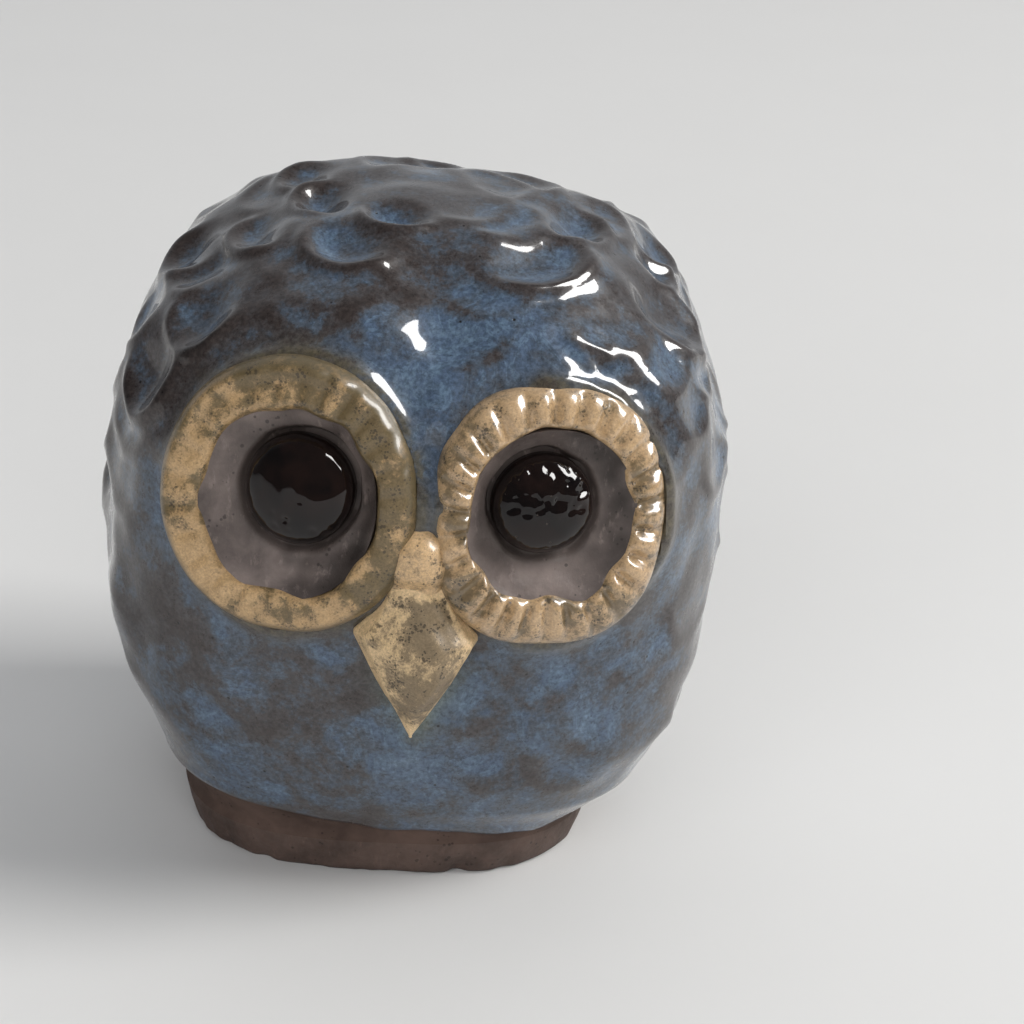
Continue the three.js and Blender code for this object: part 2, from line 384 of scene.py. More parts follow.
def skin_grid(foot_height):
    across, along, faces, edge = square_cap(CAP_SIDE)
    slopes = np.tan(np.stack([across, along]) * math.pi / 4)
    square = np.stack([*slopes, np.ones(len(across))], -1)
    headings = [unit(square)]
    around = np.arctan2(square[edge, 1], square[edge, 0])
    start = np.arctan2(np.hypot(square[edge, 0], square[edge, 1]), 1)
    drop = (equator - foot_height) / belly_drop
    end = math.pi / 2 + np.arctan2(drop, rim_share(foot_height) * plan_reach(around))
    steps = np.interp(np.linspace(0, 1, SKIN_ROWS + 1), [0, 0.84, 1], [0, 0.93, 1])[1:]
    loop = edge
    for step in steps:
        below = sum(len(part) for part in headings) + np.arange(len(edge))
        headings.append(heading_of(start + (end - start) * step, around))
        faces += sleeve(loop, below)
        loop = below
    return np.concatenate(headings), faces, loop


foot_height = slab_high[2]
skin_headings, skin_faces, skin_rim = skin_grid(foot_height)
skin = on_body(skin_headings)
skin_normals = body_normals(skin)
print("skin", len(skin), "points, from", skin.min(0).round(2), "to", skin.max(0).round(2))

# %% [markdown]
# ## Feathers, folds and dimples
# The feathers are single presses of a thumb or a rounded tool into soft clay. Each press goes in at a
# slant, so it is shallow where it starts, deep where it ends, and it pushes a small lip of clay up past
# its deep end. The presses are laid in staggered rows like roof tiles, each one over the lip of the row
# below. They could be sculpted one by one or stamped with a displacement picture, but a loop over a
# formula makes them all slightly different, as the hand does. The face and belly stay calmer.


# %% Presses
def neighbours(faces):
    """Every pair of points that share an edge of a quad."""
    quads = np.array(faces)
    pairs = np.concatenate([quads[:, [k, (k + 1) % 4]] for k in range(4)])
    return np.unique(np.sort(pairs, 1), axis=0)


def blurred(values, pairs, rounds):
    """The values after each point has taken the mean of its neighbours that many times."""
    count = np.bincount(pairs.ravel(), minlength=len(values))
    for _ in range(rounds):
        total = np.bincount(pairs[:, 0], values[pairs[:, 1]], len(values))
        total += np.bincount(pairs[:, 1], values[pairs[:, 0]], len(values))
        values = 0.5 * values + 0.5 * total / count
    return values


def press(relief, places, centre, normal, towards, width, length, depth, lip):
    """One slanted thumb press into the relief, deepest towards its lip."""
    along = towards - normal * (towards @ normal)
    along /= np.linalg.norm(along)
    aside = np.cross(normal, along)
    offset = places - centre
    near = np.abs(offset @ along) < length * 1.7
    near &= np.abs(offset @ aside) < width * 1.7
    near &= np.abs(offset @ normal) < max(width, length)
    offset = offset[near]
    sideways = offset @ aside / width
    forwards = offset @ along / length
    radius = np.hypot(sideways, forwards)
    inside = np.clip(1 - radius**2, 0, 1)
    slant = 0.25 + 0.75 * ease(forwards, -0.9, 0.6)
    bowl = -depth * inside**1.1 * slant
    rim = lip * bell(radius, 1.1, 0.24) * ease(forwards, -0.2, 0.7)
    cover = ease(1.42 - radius, 0, 0.45) * ease(forwards + 1.3, 0, 0.9)
    relief[near] = relief[near] * (1 - cover) + (relief[near] * 0.45 + bowl + rim) * cover


FEATHER_ROWS = [148, 135, 122, 109, 96, 83, 70, 57, 45, 33, 21, 9]
FEATHER_SPACING = 9.0
MEAN_RADIUS = 36
# The deepest pockets on the crown and shoulders: degrees off the crown, degrees round it, the half width
# and half length in mm, and how far the thumb was twisted.
DEEP_POCKETS = [
    (26, -122, 5.6, 5.0, 0.0),
    (15, -112, 4.4, 3.8, 0.4),
    (19, -172, 4.6, 4.2, 0.4),
    (32, -160, 5.2, 4.4, 0.2),
    (45, -176, 5.6, 5.0, 0.2),
    (50, -143, 4.8, 6.4, -0.5),
    (64, -148, 5.0, 6.6, -0.3),
    (30, -52, 6.8, 5.4, 0.2),
    (48, -20, 6.6, 7.4, 0.0),
    (26, -12, 6.2, 4.6, 0.5),
]
POCKET_DEPTH = 1.9
POCKET_ROOM = 5.8
LIP_SHARE = 0.5


def spot_on_body(tilt, around):
    """The place on the plain body at an angle off the crown and an angle round it."""
    return on_body(heading_of(np.array([tilt]), np.array([around])))


def thumb(relief, places, tilt, around, twist, width, length, depth):
    """A press at an angle off the crown and round it, pushed downhill."""
    centre = spot_on_body(tilt, around)
    normal = body_normals(centre)[0]
    downhill = unit(spot_on_body(tilt + 0.05, around)[0] - centre[0])
    towards = downhill + np.cross(normal, np.array([0, 0, 1.0])) * twist
    press(relief, places, centre[0], normal, towards, width, length, depth, LIP_SHARE * depth)


def feather_relief(places, even=False):
    """The rows of presses, laid from the foot up to the crown; even ones vary less in depth."""
    relief = np.zeros(len(places))
    draw = np.random.default_rng(11)
    pockets = [spot_on_body(*np.radians(pocket[:2]))[0] for pocket in DEEP_POCKETS]
    for row, polar in enumerate(FEATHER_ROWS):
        girth = 2 * math.pi * MEAN_RADIUS * math.sin(math.radians(polar))
        count = max(3, round(girth / FEATHER_SPACING))
        for k in range(count):
            tilt = math.radians(polar + draw.uniform(-5, 5))
            around = 2 * math.pi * (k + 0.5 * (row % 2) + draw.uniform(-0.32, 0.32)) / count
            size = draw.uniform(0.75, 1.25)
            twist = draw.uniform(-0.8, 0.8)
            strength = draw.uniform(0.25, 1.1)
            centre = spot_on_body(tilt, around)[0]
            if min(np.linalg.norm(centre - pocket) for pocket in pockets) < POCKET_ROOM:
                continue
            calm = float(ease(-centre[1], 6, 24))
            depth = 0.35 + 0.65 * strength if even else strength * (1.35 - 1.05 * calm)
            width = size * (4.7 + 1.1 * calm)
            thumb(relief, places, tilt, around, twist, width, size * 5.0, depth)
    for tilt, around, width, length, twist in DEEP_POCKETS:
        depth = 1.0 if even else POCKET_DEPTH
        thumb(relief, places, math.radians(tilt), math.radians(around), twist, width, length, depth)
    return relief


feathers = feather_relief(skin)
print("feathers from", feathers.min().round(2), "to", feathers.max().round(2), "mm")

# %% [markdown]
# The face has its own large forms. A soft fold of clay stands over each eye like a brow, and a valley runs
# down between them. Above the owl's left eye the thick glaze has wrinkled as it dried. The wall itself
# swells and dips a little everywhere, as every pinched pot's does, and the glaze climbs a little way up
# each ring and round the beak, which hides the joint.

# %% Folds of the face and swells of the wall
BEAK_LOW, BEAK_HIGH = box_mm("beak")
beak_middle = (BEAK_LOW[0] + BEAK_HIGH[0]) / 2
FULL_SIDE = math.radians(192)
BEAK_CHEEK_SHARE = 0.31
beak_half = (BEAK_HIGH[0] - BEAK_LOW[0]) / 2


def beak_spread(down):
    """The beak's half width at a share of the way down it, as a share of its widest."""
    above = 0.5 + 0.5 * (np.minimum(down, BEAK_CHEEK_SHARE) / BEAK_CHEEK_SHARE) ** 1.6
    below = np.clip((1 - down) / (1 - BEAK_CHEEK_SHARE), 0, 1) ** 0.9
    return np.where(down < BEAK_CHEEK_SHARE, above, below)


def ring_gap(eye, places):
    """About how many mm a place lies outside an eye ring, negative inside."""
    return (eye.share(places) - 1) * eye.half.mean()


def face_relief(places, normals):
    front = ease(-normals[:, 1], 0.05, 0.35)
    relief = np.zeros(len(places))
    for eye in EYES.values():
        gap = ring_gap(eye, places)
        local = eye.flat(places)
        over = ease(local[:, 1] / eye.half[1], 0.1, 0.7)
        relief += front * over * (0.75 * bell(gap, 4.2, 2.2) - 0.2 * bell(gap, 9.0, 2.6))
        relief += front * 1.1 * np.exp(-np.maximum(gap, 0) / 1.1)
    valley = bell(places[:, 0] - beak_middle, 0, 3.0 + 0.12 * np.maximum(places[:, 2] - 58, 0))
    relief -= front * 1.1 * valley * ease(places[:, 2], 54, 62) * (1 - 0.7 * ease(places[:, 2], 66, 76))
    brow = EYES["right"].world(np.array([7.0, 18.5, 2.0]))
    wrinkled = bell(np.linalg.norm(places - brow, axis=1), 0, 8.5)
    creases = 1 - np.abs(lumps(places * np.array([1, 1, 1.3]), 4.0, 71)) * 1.3
    relief += wrinkled * 0.13 * np.clip(creases, -1, 1)
    return relief


def wall_relief(places, normals):
    """The wall's uneven swell, fuller low on the owl's right and at the back of the crown."""
    from_side = angle_between(np.arctan2(places[:, 1], places[:, 0]), FULL_SIDE)
    fuller = 1.3 * bell(places[:, 2], 30, 11) * bell(from_side, 0, 0.7)
    fuller += 1.0 * ease(normals[:, 2], 0.5, 0.9) * ease(places[:, 1], -4, 14)
    return fuller + 0.34 * lumps(places, 27, 3) + 0.2 * lumps(places, 12, 5) + 0.06 * lumps(places, 6, 7)


pairs = neighbours(skin_faces)
relief = blurred(feathers, pairs, 2) + face_relief(skin, skin_normals) + wall_relief(skin, skin_normals)
relief = blurred(relief, pairs, 1)
print("relief from", relief.min().round(2), "to", relief.max().round(2), "mm")

# %% [markdown]
# ## Glaze roll, seats and the hollow inside
# The potter waxes the foot, so the glaze stops in a thick, wavy roll just above the base and leaves a band
# of bare clay. Under each eye the body has a sunk seat. The pot is hollow with a wall of several
# millimetres, and its mouth is closed by the slab. All of it is one closed skin: down the outside, across
# the foot, up through the mouth and round the inside, where the grid gets coarser because only the kiln
# sees it.

# %% The finished outside
ROLL_HEIGHT = 6.9
ROLL_LIFT = 4.2
WIPED_SIDE = math.radians(188)
DRAWN_IN = 6.0
WALL = 7.0


def roll_line(around):
    """Height in mm at which the glaze stops, round the foot. It was wiped highest on the owl's right."""
    circle = at_height(round_point(around) * 26, 0)
    wiped = ROLL_LIFT * ease(np.cos(around - WIPED_SIDE), 0.1, 0.95)
    return ROLL_HEIGHT + wiped + 0.4 * lumps(circle, 22, 31) + 0.16 * lumps(circle, 7, 32)


around_foot = np.arctan2(skin[:, 1], skin[:, 0])
above_roll = skin[:, 2] - roll_line(around_foot)
low_down = ease(-above_roll, -14, -4)
relief = relief * (1 - 0.75 * low_down)
relief += 0.25 * bell(above_roll, 0.6, 0.8)
relief -= 0.15 * ease(-above_roll, -0.25, 0.4)
outside = skin + skin_normals * relief[:, None]
outside[skin_rim, 2] = foot_height


def slab_outline(around, half):
    """The slab's outline in directions round its middle, with its two half sizes."""
    return round_point(around) * half * plan_reach(around)[:, None]


def join_slab(places):
    """Draws the lowest part of the belly in, so that it meets the slab's edge."""
    offset = (places[:, :2] - slab_centre) / slab_half
    edge = slab_centre + slab_outline(np.arctan2(offset[:, 1], offset[:, 0]), slab_half)
    pull = np.clip((foot_height + DRAWN_IN - places[:, 2]) / DRAWN_IN, 0, 1) ** 1.5
    joined = places.copy()
    joined[:, :2] += (edge - places[:, :2]) * pull[:, None]
    return joined


def settle_seats(places):
    """Sinks the skin to the bed under each eye."""
    for eye in EYES.values():
        local = eye.flat(places)
        share = eye.share(places)
        front = (local[:, 2] > -6) & (share < 1)
        depth = ease(0.97 - share, 0, 0.09)
        sunk = local.copy()
        sunk[:, 2] = local[:, 2] * (1 - depth) + np.minimum(local[:, 2], -0.15) * depth
        places = np.where(front[:, None], eye.world(sunk), places)
    return places


def fit_to_box(places, low, high):
    """Stretches the places by a hair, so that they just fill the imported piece's box."""
    found_low, found_high = places.min(0), places.max(0)
    return low + (places - found_low) * (high - low) / (found_high - found_low)


owl_low = body_low * np.array([1, 1, 0]) + np.array([0, 0, foot_height])
outside = join_slab(fit_to_box(settle_seats(outside), owl_low, body_high))
print("outside from", outside.min(0).round(2), "to", outside.max(0).round(2))

# %% Masks that the glaze reads
even_feathers = blurred(feather_relief(skin, even=True), pairs, 3)
hollowness = blurred(even_feathers, pairs, 40) - even_feathers
hollowness += 0.5 * (blurred(relief, pairs, 34) - relief)
hollowness *= 1 - 0.5 * ease(-skin_normals[:, 1], 0.2, 0.8) * ease(-skin_normals[:, 2], -0.6, -0.1)
forehead = bell(np.linalg.norm(skin - np.array([2, -30, 69]), axis=1), 0, 11)
under_beak = bell(np.linalg.norm(skin - np.array([4, -34, 17]), axis=1), 0, 15)
crown_top = ease(skin_normals[:, 2], 0.6, 0.9)
# Painted shade: low on the owl's right, the side away from the lamps, the glaze mask is lowered, so the glaze
# there shows browner and darker.
painted_shade_owls_right = ease(-skin[:, 0], 12, 30) * ease(48 - skin[:, 2], 0, 16)
glaze_and_painted_shade = 0.75 * forehead + 0.28 * under_beak - 0.2 * crown_top - 0.18 * painted_shade_owls_right
pooled = np.clip(0.5 + hollowness / 0.9 + glaze_and_painted_shade, 0, 1)
bare = ease(-above_roll, -0.15, 0.3)
collar = np.zeros(len(skin))
for eye in EYES.values():
    collar = np.maximum(collar, np.exp(-np.maximum(ring_gap(eye, skin), 0) / 0.9))
beak_share = np.clip((BEAK_HIGH[2] - skin[:, 2]) / (BEAK_HIGH[2] - BEAK_LOW[2]), 0, 1)
beside_beak = np.abs(skin[:, 0] - beak_middle) - beak_half * beak_spread(beak_share)
below_beak = np.maximum(BEAK_LOW[2] - skin[:, 2], 0)
fringe = np.exp(-np.hypot(np.maximum(beside_beak, 0), below_beak) / 1.2)
fringe *= ease(-skin[:, 1], 10, 20) * ease(beak_share, 0.4, 0.8)
print("pooled from", pooled.min().round(2), "to", pooled.max().round(2))

# %% The inside and the foot's underside
SEAM_COLUMNS = CAP_SIDE
INNER_ROWS = 22
MOUTH_SHARE = 0.76


def close_body(places, faces, rim):
    """Adds the underside, the mouth and the hollow, and returns places, faces and the underside's faces."""
    places = [places]
    count = len(places[0])

    def add(loop_places):
        nonlocal count
        places.append(loop_places)
        count += len(loop_places)
        return np.arange(count - len(loop_places), count)

    step = len(rim) // SEAM_COLUMNS
    outer = places[0][rim]
    inner = outer[::step] * np.array([0.93, 0.93, 1])
    inner[:, 2] = foot_height
    seam = add(inner)
    fans = []
    for k in range(SEAM_COLUMNS):
        span = [rim[(k * step + j) % len(rim)] for j in range(step + 1)]
        fans.append([seam[k], *span, seam[(k + 1) % SEAM_COLUMNS]])
    around = np.arctan2(inner[:, 1] / half_depth, inner[:, 0] / half_width)
    level = slab_outline(around, (1, 1))
    mouth = at_height(level * slab_half * MOUTH_SHARE, foot_height)
    loop = seam
    chamber_floor = foot_height + WALL
    lifts = [mouth, mouth + np.array([0, 0, WALL - 1.0])]
    drop = belly_drop - WALL
    rise = crown_rise - WALL
    lowest = -math.asin(((equator - chamber_floor) / drop) ** (SIDE_POWER / 2))
    for tilt in np.linspace(lowest, math.radians(48), INNER_ROWS):
        share = math.cos(tilt) ** (2 / SIDE_POWER)
        lift = math.copysign(abs(math.sin(tilt)) ** (2 / SIDE_POWER), tilt)
        height = equator + lift * (rise if tilt > 0 else drop)
        half = np.array([half_width - WALL, half_depth - WALL]) * share
        lifts.append(at_height(level * half, height))
    inside_faces = []
    for places_up in lifts:
        following = add(places_up)
        inside_faces += sleeve(loop, following)
        loop = following
    roof_side = SEAM_COLUMNS // 4
    across, along, roof_quads, edge = square_cap(roof_side)
    top = places[-1]
    corner = np.argmin(np.hypot(top[:, 0] - top[:, 0].min(), top[:, 1] - top[:, 1].min()))
    border = np.roll(np.arange(SEAM_COLUMNS), -corner)
    roof = np.zeros((len(across), 3))
    dome = np.clip(1 - np.maximum(np.abs(across), np.abs(along)) ** 2, 0, 1)
    spread = np.abs(top[:, :2]).max(0)
    roof[:, 0] = across * np.sqrt(1 - along**2 / 2.6) * spread[0]
    roof[:, 1] = along * np.sqrt(1 - across**2 / 2.6) * spread[1]
    roof[:, 2] = top[0, 2] + (total_height - WALL - top[0, 2]) * dome
    numbers = np.empty(len(across), int)
    numbers[edge] = loop[border]
    middle = np.setdiff1d(np.arange(len(across)), edge)
    numbers[middle] = add(roof[middle])
    inside_faces += numbers[np.array(roof_quads)].tolist()
    return np.concatenate(places), faces + inside_faces, fans


closed, closed_faces, foot_fans = close_body(outside, skin_faces, skin_rim)
extra = len(closed) - len(outside)
body_masks = {
    "pooled": np.concatenate([pooled, np.full(extra, 0.5)]),
    "bare": np.concatenate([bare, np.ones(extra)]),
    "collar": np.concatenate([collar, np.zeros(extra)]),
    "fringe": np.concatenate([fringe, np.zeros(extra)]),
}
body = make_piece("glazed_body", closed, closed_faces, body_masks, foot_fans)

# %% [markdown]
# ## The base slab
# The slab was cut with a wire, trimmed round with a knife and left bare. Knife strokes run down its edge,
# the corner that meets the table is worn round, and a hole through it let the air out in the kiln. Its grid
# is a tube bent into itself: down the edge, across the underside to the hole, up the hole and back over
# the top.

# %% Slab
SLAB_COLUMNS = 420
VENT_RADIUS = 4.0
VENT_BACK = 9.0
SLAB_TAPER = 0.95

slab_thick = slab_high[2] - slab_low[2]


def slab_piece():
    around = np.linspace(0, 2 * math.pi, SLAB_COLUMNS, endpoint=False)
    outline = slab_outline(around, slab_half)
    outwards = unit(outline)
    vent = round_point(around) * VENT_RADIUS + np.array([0, VENT_BACK]) - slab_centre
    circle = at_height(outline, 0)
    trimmed = 0.4 + 0.6 * ease(lumps(circle, 20.0, 44), -0.5, 0.8)
    strokes = trimmed * (0.1 * lumps(circle, 4.5, 41) + 0.06 * lumps(circle, 2.2, 42))
    strokes += 0.1 * lumps(circle, 9.0, 40)
    notches = ease(lumps(circle, 9.0, 43), 1.1, 1.8)
    loops = []
    for drop in np.linspace(0, 1, 14):
        width = 1 - (1 - SLAB_TAPER) * drop**1.6
        worn = 0.45 * ease(drop, 0.82, 1.0) ** 2 + 0.7 * notches * ease(drop, 0.25, 0.9)
        sway = strokes * ease(drop, 0.0, 0.25)
        flat = outline * width + outwards * (sway - worn)[:, None]
        loops.append(at_height(flat, slab_thick * (1 - drop)))
    table_edge = loops[-1][:, :2]
    loops += [at_height(table_edge * (1 - share) + vent * share, 0) for share in np.linspace(0.06, 1, 18)]
    loops += [at_height(vent, slab_thick * share) for share in (0.33, 0.66, 1.0)]
    loops += [at_height(vent * (1 - share) + outline * share, slab_thick) for share in (0.35, 0.7)]
    places, faces, _ = tube(loops, bent_round=True)
    return make_piece("bare_foot", places + np.array([*slab_centre, 0]), faces)


foot = slab_piece()

# %% [markdown]
# ## Eye rings
# Each ring is a coil of clay flattened onto the face and pressed all round with the edge of a tool, so it
# has ribs and flutes like a pie crust. The ring over the owl's left eye is crisp; the other was smoothed
# again with a wet finger and keeps a low outer ridge. The section is a softened block, swept round an oval
# whose two edges wander a little.

# %% Rings
RING_COLUMNS = 26 * 16
RING_ROWS = 26
FLUTES = 26


def oval(around, half, power):
    """A rounded outline: power 2 is an ellipse, more is squarer."""
    reach = (np.abs(np.cos(around)) ** power + np.abs(np.sin(around)) ** power) ** (-1 / power)
    return round_point(around) * half * reach[:, None]


def wander(around, seed, slow, quick):
    """Small swells round an outline, in mm."""
    circle = at_height(round_point(around) * 14, 0)
    return slow * lumps(circle, 24, seed) + quick * lumps(circle, 8, seed + 1)


# In each look the side angle, in degrees, says where the dish is painted darker as shadow under the ring's
# wall.
RINGS = {
    "left": {
        "inner": (0.625, 0.66), "shift": (0.2, -0.1), "power": 2.05, "flute": 0.4, "ridge": 0.5,
        "stained_rim": 1.0, "stained_top": 0.9, "shadow_side": -20, "seed": 51,
    },
    "right": {
        "inner": (0.66, 0.625), "shift": (-0.2, 0.0), "power": 2.4, "flute": 0.8, "ridge": 0.0,
        "stained_rim": 0.25, "stained_top": -0.3, "shadow_side": 20, "seed": 61,
    },
}


def ring_piece(eye, look):
    around = np.linspace(0, 2 * math.pi, RING_COLUMNS, endpoint=False)
    outer = oval(around, eye.half, look["power"])
    inner = oval(around, eye.half * look["inner"], 2.1) + look["shift"]
    outwards = unit(outer)
    outer = outer - outwards * (0.15 - wander(around, look["seed"], 0.1, 0.06))[:, None]
    inner = inner + outwards * wander(around, look["seed"] + 2, 0.42, 0.26)[:, None]
    uneven = wander(around, look["seed"] + 4, 0.5, 0.3)
    phase = FLUTES * around + 0.9 * wander(around, look["seed"] + 6, 1.0, 0.0)
    flutes = (0.5 - 0.5 * np.cos(phase)) ** 1.7 * np.clip(1 + 0.6 * uneven, 0.25, 1.5)
    upper_left = bell(angle_between(around, math.radians(110)), 0, 1.1)
    stained_top = look["stained_top"] * np.cos(around - math.radians(50))
    loops = []
    pools = []
    edges = []
    for share in (1 - np.cos(np.linspace(0, math.pi, RING_ROWS))) / 2:
        arch = (1 - abs(2 * share - 1) ** (4.0 if share < 0.5 else 2.7)) ** (1 / 2.2)
        height = 0.3 + (RING_CREST - 0.9) * arch * (1 - 0.3 * share**1.5)
        band = ease(share, 0.04, 0.3) * ease(1 - share, 0.0, 0.2)
        top = height - look["flute"] * flutes * band * (1.15 - 0.6 * share)
        top = top + look["ridge"] * bell(share, 0.82, 0.13) * (0.4 + 0.6 * upper_left)
        top = top - look["ridge"] * 0.8 * bell(share, 0.5, 0.2) * upper_left
        loops.append(at_height(inner * (1 - share) + outer * share, top + 0.1 * uneven * band))
        pools.append(np.clip(0.15 + 0.6 * flutes * band, 0, 1) + stained_top)
        edges.append(np.full(RING_COLUMNS, look["stained_rim"] * ease(share, 0.7, 0.95)))
    for flat in (outer, inner):
        loops.append(at_height(flat, 0))
        pools.append(np.zeros(RING_COLUMNS))
        edges.append(np.full(RING_COLUMNS, look["stained_rim"]))
    places, faces, _ = tube(loops, bent_round=True)
    masks = {"pooled": np.concatenate(pools), "edge": np.concatenate(edges)}
    return make_piece(f"{eye.side}_pressed_ring", eye.world(places), faces, masks)


rings = {side: ring_piece(eye, RINGS[side]) for side, eye in EYES.items()}

# %% [markdown]
# ## Cups and pupils
# Inside each ring the clay is bare and scraped into a shallow dish, with a deeper socket for the pupil.
# The pupil is a rolled pellet under a thick, dark, glassy glaze, which levels itself into a smooth low dome
# with a few burst bubbles. The cup's rings run from the pupil's round socket out to the oval dish.

# %% Cups
CUP_COLUMNS = 240
CUP_EDGE = 2.9
CUP_FLOOR = 1.0
SOCKET_DEPTH = 0.6
CUP_BACK = 0.1


def cup_piece(eye, look):
    seed = look["seed"]
    around = np.linspace(0, 2 * math.pi, CUP_COLUMNS, endpoint=False)
    circle = round_point(around)
    dish = oval(around, eye.half * look["inner"], 2.1) + look["shift"] + circle * 0.8
    socket = eye.pupil + circle * (eye.pupil_half + 0.35 + wander(around, seed + 8, 0.15, 0.1))[:, None]
    loops = []
    for share in np.linspace(0.08, 1, 8):
        loops.append(at_height(eye.pupil * (1 - share) + socket * share, CUP_FLOOR - SOCKET_DEPTH))
    for share in np.linspace(0.04, 1, 18):
        rise = CUP_FLOOR + 0.35 + (CUP_EDGE - CUP_FLOOR - 0.35) * share**1.6
        lift = rise - (SOCKET_DEPTH + 0.35) * (1 - ease(share, 0.0, 0.16))
        loops.append(at_height(socket * (1 - share) + dish * share, lift))
    for share in np.linspace(1, 0.1, 4):
        loops.append(at_height(dish * share + np.array(look["shift"]) * (1 - share), CUP_BACK))
    seeps_and_shadows = []
    for loop in loops:
        scraped = loop[0, 2] > CUP_BACK
        loop[:, 2] += 0.07 * lumps(loop, 4.0, seed + 10) * scraped
        off = np.linalg.norm(loop[:, :2] - eye.pupil, axis=1) - eye.pupil_half
        halo = np.exp(-np.maximum(off, 0) / (1.3 + 0.4 * lumps(loop, 9.0, seed + 12)) ** 2)
        # Painted shadow: the dish is darkened on the side away from the lamps, where the ring's wall shades
        # it. The halo round the pupil is dark glaze that seeped.
        shadow_away_from_lamp = np.clip(np.cos(around - math.radians(look["shadow_side"])), 0, 1) * ease(off, 0, 2.5)
        seeps_and_shadows.append(np.maximum(halo, 0.95 * shadow_away_from_lamp + 0.1 * lumps(loop, 3.0, seed + 13)))
    places, faces, number = tube(loops)
    caps = [number[0].tolist(), number[-1].tolist()]
    masks = {"seep_and_shadow": np.concatenate(seeps_and_shadows)}
    return make_piece(f"{eye.side}_bare_cup", eye.world(places), faces, masks, caps)


cups = {side: cup_piece(eye, RINGS[side]) for side, eye in EYES.items()}


# %% Pupils
PUPIL_SIDE = 76
BUBBLES = {"left": (14, -0.8), "right": (64, -0.05)}


def pupil_piece(eye, seed):
    low, high = box_mm(f"{eye.side}_pupil")
    top = eye.flat((low + high)[None] / 2)[0, 2] * 2 - CUP_FLOOR - 0.3
    across, along, faces, edge = square_cap(PUPIL_SIDE)
    square = np.stack([np.tan(across * math.pi / 4), np.tan(along * math.pi / 4)], -1)
    reach = np.maximum(np.abs(across), np.abs(along))
    tilt = reach * math.pi / 2
    outwards = unit(np.where(np.abs(square) < 1e-9, 1e-9, square))
    flat = outwards * np.sin(tilt)[:, None] * eye.pupil_half
    bed = CUP_FLOOR - 0.2
    height = bed + 0.7 + (top - bed - 0.7) * np.cos(tilt) ** 0.9
    dome = at_height(flat + eye.pupil, height)
    swell = 0.07 * lumps(dome, 7, seed) + 0.02 * lumps(dome, 2.4, seed + 1)
    dome[:, :2] += (dome[:, :2] - eye.pupil) * 0.01 * lumps(dome, 9, seed + 2)[:, None]
    dome[:, 2] += swell * (1 - reach**4)
    draw = np.random.default_rng(seed)
    count, lowest = BUBBLES[eye.side]
    for _ in range(count):
        place = np.array([draw.uniform(-0.75, 0.75), draw.uniform(lowest, 0.8)])
        wide = draw.uniform(0.2, 0.5)
        off = np.linalg.norm(dome[:, :2] - eye.pupil - place * eye.pupil_half, axis=1)
        dome[:, 2] -= 0.42 * wide * np.exp(-(off / wide) ** 2)
    places, faces, cap = close_behind(dome, faces, edge, 2, bed)
    return make_piece(f"{eye.side}_glassy_pupil", eye.world(places), faces, caps=cap)


pupils = {side: pupil_piece(eye, 81 + 10 * k) for k, (side, eye) in enumerate(EYES.items())}

# %% [markdown]
# ## Beak and nose bridge
# The beak is a kite of clay pinched to a ridge that leans to one side, and the bridge is a small pellet
# thumbed into the valley between the rings. Both are height fields: a grid over the kite's outline whose
# height rises from the rim to the ridge, closed at the back. That gives clean quads and a soft ridge,
# where a cut block would have sharp facets.

# %% Beak
BEAK_ROWS = 84
BEAK_SPAN = 64
RIDGE_LEAN = 1.7
BEAK_SHOULDER_LEVEL = -33.0


def blurred_line(values, rounds):
    """The values after each has been softened by its two neighbours that many times."""
    for _ in range(rounds):
        padded = np.concatenate([values[:1], values, values[-1:]])
        values = (padded[:-2] + 2 * padded[1:-1] + padded[2:]) / 4
    return values


def beak_piece():
    top, tip = BEAK_HIGH[2], BEAK_LOW[2]
    front, back = BEAK_LOW[1], BEAK_HIGH[1]
    down = np.linspace(0, 1, BEAK_ROWS + 1)
    sweep = np.linspace(-1, 1, BEAK_SPAN + 1)
    spread = np.maximum(blurred_line(beak_spread(down), 3), 0.03)
    ridge = RIDGE_LEAN * bell(down, 0.5, 0.4)
    soft = np.sqrt(sweep**2 + 0.05) - math.sqrt(0.05)
    roof = 1 - (soft / soft.max()) ** 1.25
    rows = []
    for k, share in enumerate(down):
        lean = ridge[k] * (1 - sweep**2) * min(1, spread[k] * 1.4)
        x = beak_middle + beak_half * spread[k] * sweep + lean
        crest = (0.3 + 0.7 * ease(share, 0.0, 0.42)) * ease(1 - share, -0.1, 0.55)
        y = BEAK_SHOULDER_LEVEL - (BEAK_SHOULDER_LEVEL - front) * (0.2 + 0.8 * roof) * crest
        y = y + 1.2 * (1 - ease(1 - np.abs(sweep), 0, 0.16))
        y = y + 0.5 * bell(share, 0.34, 0.16) * bell(sweep, -0.15, 0.4)
        z = top + (tip - top) * share + 0.25 * spread[k] * np.cos(sweep * math.pi)
        rows.append(np.stack([x, y, z], -1))
    face = np.concatenate(rows)
    face[:, 1] += 0.16 * lumps(face, 6.5, 91) + 0.05 * lumps(face, 2.2, 92)
    faces, edge = patch(BEAK_ROWS + 1, BEAK_SPAN + 1)
    places, faces, cap = close_behind(face, faces, edge, 1, back)
    rim = np.abs(np.tile(sweep, BEAK_ROWS + 1)) ** 3
    tip_light = np.repeat(np.maximum(ease(down, 0.7, 1.0), ease(-down, -0.12, 0.0)), BEAK_SPAN + 1)
    worn = np.concatenate([np.maximum(rim, tip_light), np.ones(len(edge))])
    masks = {"pooled": 1.9 - 3.6 * worn, "edge": np.zeros(len(places))}
    return make_piece("pinched_beak", places, faces, masks, cap)


beak = beak_piece()

# %% Bridge
BRIDGE_ROWS = 56
BRIDGE_SPAN = 36
BRIDGE_TOP_HALF = 0.3
BRIDGE_FOOT_HALF = 3.2


